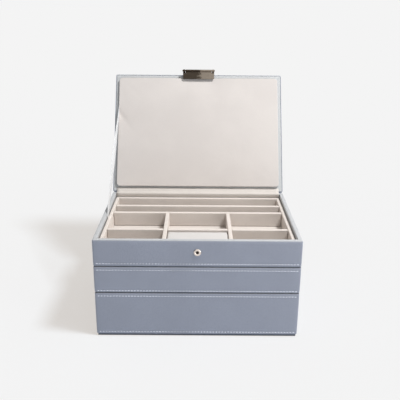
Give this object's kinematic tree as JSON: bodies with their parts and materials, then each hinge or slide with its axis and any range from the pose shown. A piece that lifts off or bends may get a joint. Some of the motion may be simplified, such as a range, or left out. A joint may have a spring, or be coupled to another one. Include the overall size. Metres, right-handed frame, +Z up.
{
  "type": "tiered jewelry box",
  "caption": "Stacking leather-covered jewelry box with velvet-lined divided trays, a padded lid on a ribbon stay and a swinging front clasp.",
  "frame": {"origin": "centre of the flat underside of the lowest tray's plinth, where the box stands", "axes": "+Z up, +Y towards the hinge at the back, -Y the front with the stud, +X to the right seen from the front; the lid stands open"},
  "size_m": [0.25, 0.2748, 0.2985],
  "materials": {
    "blue_grey_leather": "satin",
    "board": "matte",
    "pale_trim": "satin",
    "cream_trim": "matte",
    "beige_velvet": "matte",
    "cream_pad_velvet": "matte",
    "white_pad_velvet": "matte",
    "stay_ribbon": "satin",
    "clasp_metal": "satin",
    "stud_metal": "satin",
    "magnet": "satin"
  },
  "bodies": {
    "deep_tray": {"deep_floor_board": "board", "deep_front_wall": "board", "deep_back_wall": "board", "deep_left_wall": "board", "deep_right_wall": "board", "deep_leather_wrap": "blue_grey_leather", "deep_rim_trim": "pale_trim", "deep_lining_floor": "beige_velvet", "deep_front_lining": "beige_velvet", "deep_back_lining": "beige_velvet", "deep_left_lining": "beige_velvet", "deep_right_lining": "beige_velvet", "deep_cross_divider": "beige_velvet"},
    "middle_tray": {"middle_floor_board": "board", "middle_front_wall": "board", "middle_back_wall": "board", "middle_left_wall": "board", "middle_right_wall": "board", "middle_leather_wrap": "blue_grey_leather", "middle_rim_trim": "pale_trim", "middle_lining_floor": "beige_velvet", "middle_front_lining": "beige_velvet", "middle_back_lining": "beige_velvet", "middle_left_lining": "beige_velvet", "middle_right_lining": "beige_velvet", "middle_long_divider": "beige_velvet", "middle_left_cross_divider": "beige_velvet", "middle_right_cross_divider": "beige_velvet"},
    "top_tray": {"top_floor_board": "board", "top_front_wall": "board", "top_back_wall": "board", "top_left_wall": "board", "top_right_wall": "board", "top_leather_wrap": "blue_grey_leather", "top_rim_trim": "pale_trim", "top_lining_floor": "beige_velvet", "top_front_lining": "beige_velvet", "top_back_lining": "beige_velvet", "top_left_lining": "beige_velvet", "top_right_lining": "beige_velvet", "top_rear_divider": "beige_velvet", "top_middle_divider": "beige_velvet", "top_front_divider": "beige_velvet", "top_left_cross_divider": "beige_velvet", "top_right_cross_divider": "beige_velvet", "display_pad": "white_pad_velvet", "stud_ring": "stud_metal", "stud_magnet": "magnet", "hinge_leather": "blue_grey_leather", "hinge_lining": "cream_trim", "lid_stay_ribbon": "stay_ribbon"},
    "lid": {"lid_board": "board", "lid_leather_wrap": "blue_grey_leather", "lid_inner_panel": "pale_trim", "lid_pad": "cream_pad_velvet", "clasp_bracket": "clasp_metal", "clasp_pin": "clasp_metal", "clasp_rivet_left": "clasp_metal", "clasp_rivet_right": "clasp_metal"},
    "clasp": {"clasp_plate": "clasp_metal"}
  },
  "joints": [
    {"name": "middle_tray_lift", "type": "slide", "parent": "deep_tray", "child": "middle_tray", "axis": [0, 0, 1], "range_m": [0, 0.1]},
    {"name": "top_tray_lift", "type": "slide", "parent": "middle_tray", "child": "top_tray", "axis": [0, 0, 1], "range_m": [0, 0.1]},
    {"name": "lid_hinge", "type": "hinge", "parent": "top_tray", "child": "lid", "pos_m": [0, 0.0907, 0.1299], "axis": [1, 0, 0], "range_deg": [0, 117.8], "deforming": ["hinge_leather", "hinge_lining", "lid_stay_ribbon"]},
    {"name": "clasp_swing", "type": "hinge", "parent": "lid", "child": "clasp", "pos_m": [0, 0.16913, 0.29667], "axis": [1, 0, 0], "range_deg": [-98, 0]}
  ],
  "couplings": [
    {"joint": "clasp_swing", "follows": "lid_hinge", "ratio": -0.8319}
  ]
}
